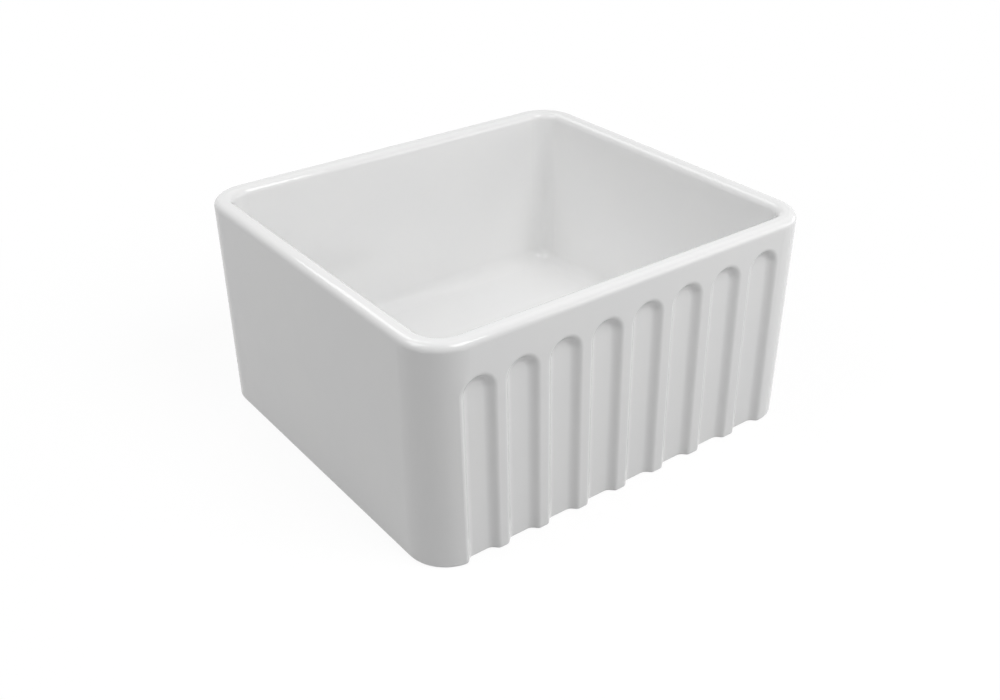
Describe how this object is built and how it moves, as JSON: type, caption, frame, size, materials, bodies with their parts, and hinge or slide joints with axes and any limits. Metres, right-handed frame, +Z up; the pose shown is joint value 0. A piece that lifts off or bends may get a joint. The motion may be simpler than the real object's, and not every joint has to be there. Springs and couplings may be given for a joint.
{
  "type": "farmhouse apron front sink",
  "caption": "White fired-clay farmhouse sink with a deep single bowl, a fluted apron front and a basket strainer waste with a lift-out basket and stopper.",
  "frame": {"origin": "on the waste's vertical axis, at the open lower end of the tailpiece", "axes": "+Z up, +X to the right of someone facing the fluted apron, +Y from the apron to the back wall"},
  "size_m": [0.5078, 0.4568, 0.385],
  "materials": {
    "fireclay_glaze": "high gloss white glaze over fired clay",
    "brushed_steel": "satin, fine circular brush lines",
    "bare_steel": "drawn and turned steel, semi-bright",
    "polished_chrome": "polished plate",
    "raw_brass": "machined, slightly dulled",
    "black_rubber": "matt moulded rubber",
    "grey_foam": "soft foam seal",
    "fibre_board": "pressed fibre, matt",
    "white_nylon": "moulded nylon, satin"
  },
  "bodies": {
    "sink": {"basin": "fireclay_glaze", "flange_seal": "grey_foam", "strainer_body": "brushed_steel", "outlet_spud": "raw_brass", "outlet_cross": "raw_brass", "under_gasket": "black_rubber", "friction_washer": "fibre_board", "locknut": "raw_brass", "tailpiece_washer": "white_nylon", "tailpiece": "polished_chrome", "coupling_nut": "polished_chrome"},
    "basket": {"basket_cup": "brushed_steel", "post_bush": "white_nylon"},
    "stopper": {"lift_post": "bare_steel", "lift_knob": "polished_chrome", "stopper_disc": "black_rubber", "backing_washer": "bare_steel", "post_nut": "raw_brass"}
  },
  "joints": [
    {"name": "basket_lift", "type": "slide", "parent": "sink", "child": "basket", "axis": [0, 0, 1], "range_m": [0, 0.3]},
    {"name": "stopper_lift", "type": "slide", "parent": "basket", "child": "stopper", "axis": [0, 0, 1], "range_m": [0, 0.008]}
  ]
}
